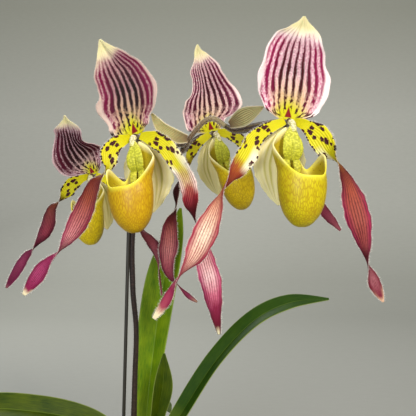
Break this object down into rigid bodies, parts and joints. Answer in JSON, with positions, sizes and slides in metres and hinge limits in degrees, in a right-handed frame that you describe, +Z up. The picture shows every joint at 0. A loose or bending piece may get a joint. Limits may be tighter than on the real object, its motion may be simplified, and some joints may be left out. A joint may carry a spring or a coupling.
{
  "type": "potted paphiopedilum orchid",
  "caption": "Potted slipper orchid in flower: striped hooded sepals, twisted drooping petals and yellow pouches on a tall staked stem over a fan of strap leaves.",
  "frame": {"origin": "middle of the pot's flat underside", "axes": "+Z up along the pot's axis and the flower stem, -Y to the front that the blooms face, +X to the right seen from the front"},
  "size_m": [0.3004, 0.1931, 0.3624],
  "materials": {
    "dorsal_sepal": "satin petal tissue, white with magenta and maroon stripes and a green-yellow base",
    "synsepal": "satin petal tissue, cream with olive stripes",
    "petal": "satin petal tissue, yellow with dark spots, then rose with dark veins, hairy margin",
    "pouch": "waxy petal tissue, golden yellow with fine net veins",
    "column": "downy tissue, yellow-green",
    "ovary": "ribbed hairy tissue, brown with green stripes",
    "bract": "thin hairy tissue, olive with brown veins",
    "leaf": "glossy leathery leaf, mid green",
    "leaf_sheath": "leaf sheaths, yellow-green, dry brown at the edges",
    "flower_stem": "hairy flower stem, maroon-black",
    "stake": "thin split cane, stained dark",
    "tie": "soft flat plant tie",
    "pot": "moulded plastic pot, charcoal",
    "bark": "composted bark chips"
  },
  "bodies": {
    "root": {"bloom_1_dorsal_sepal": "dorsal_sepal", "bloom_1_synsepal": "synsepal", "bloom_1_pouch": "pouch", "bloom_1_column": "column", "bloom_1_petal_left": "petal", "bloom_1_petal_right": "petal", "bloom_1_ovary": "ovary", "bloom_1_bract": "bract", "bloom_2_dorsal_sepal": "dorsal_sepal", "bloom_2_synsepal": "synsepal", "bloom_2_pouch": "pouch", "bloom_2_column": "column", "bloom_2_petal_left": "petal", "bloom_2_petal_right": "petal", "bloom_2_ovary": "ovary", "bloom_2_bract": "bract", "bloom_3_dorsal_sepal": "dorsal_sepal", "bloom_3_synsepal": "synsepal", "bloom_3_pouch": "pouch", "bloom_3_column": "column", "bloom_3_petal_left": "petal", "bloom_3_petal_right": "petal", "bloom_3_ovary": "ovary", "bloom_3_bract": "bract", "bloom_4_dorsal_sepal": "dorsal_sepal", "bloom_4_synsepal": "synsepal", "bloom_4_pouch": "pouch", "bloom_4_column": "column", "bloom_4_petal_left": "petal", "bloom_4_petal_right": "petal", "bloom_4_ovary": "ovary", "bloom_4_bract": "bract", "leaf_tall": "leaf", "leaf_small": "leaf", "leaf_right": "leaf", "leaf_left": "leaf", "leaf_front_left": "leaf", "leaf_front_right": "leaf", "leaf_back": "leaf", "flower_stem": "flower_stem", "crown": "leaf_sheath", "stake": "stake", "tie": "tie", "pot": "pot", "bark": "bark"}
  },
  "joints": []
}
